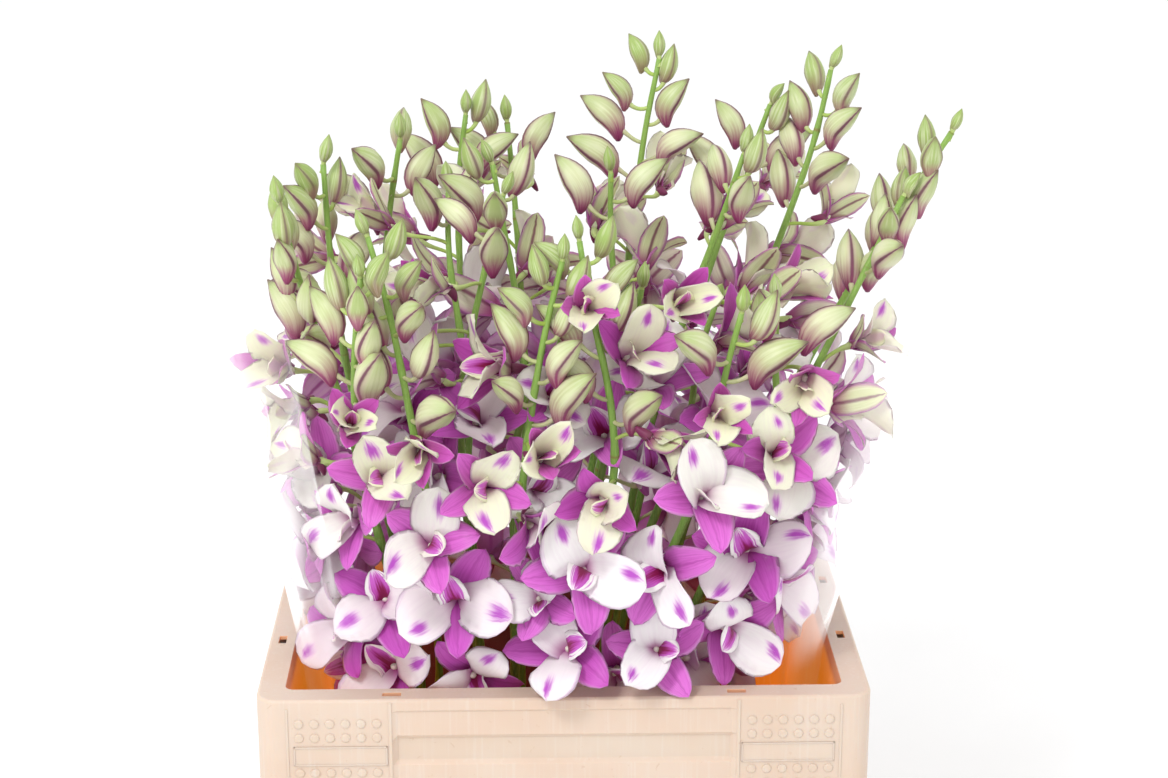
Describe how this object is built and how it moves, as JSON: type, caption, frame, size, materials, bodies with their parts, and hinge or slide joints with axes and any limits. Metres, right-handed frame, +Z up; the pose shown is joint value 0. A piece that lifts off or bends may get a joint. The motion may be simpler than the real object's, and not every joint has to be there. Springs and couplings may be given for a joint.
{
  "type": "crate of cut dendrobium orchids",
  "caption": "Cut dendrobium orchid sprays, white and magenta, standing in water in a rectangular apricot plastic flower crate inside an open-fronted clear film sleeve.",
  "frame": {"origin": "centre of the crate's flat underside", "axes": "+Z up; the crate's long front wall, where the sleeve is open, faces -Y; +X to the right seen from the front"},
  "size_m": [0.5243, 0.4017, 0.6505],
  "materials": {
    "apricot_polypropylene": "matt injection-moulded polypropylene, pale apricot",
    "clear_film": "clear glossy plastic film",
    "water": "clear still water",
    "orchid_petal": "soft satin petals, white and magenta, with green buds and stems"
  },
  "bodies": {
    "root": {"crate": "apricot_polypropylene", "sleeve": "clear_film", "water": "water", "spray_01": "orchid_petal", "spray_02": "orchid_petal", "spray_03": "orchid_petal", "spray_04": "orchid_petal", "spray_05": "orchid_petal", "spray_06": "orchid_petal", "spray_07": "orchid_petal", "spray_08": "orchid_petal", "spray_09": "orchid_petal", "spray_10": "orchid_petal", "spray_11": "orchid_petal", "spray_12": "orchid_petal", "spray_13": "orchid_petal", "spray_14": "orchid_petal", "spray_15": "orchid_petal", "spray_16": "orchid_petal", "spray_17": "orchid_petal", "spray_18": "orchid_petal", "spray_19": "orchid_petal", "spray_20": "orchid_petal", "spray_21": "orchid_petal", "spray_22": "orchid_petal", "spray_23": "orchid_petal", "spray_24": "orchid_petal"}
  },
  "joints": []
}
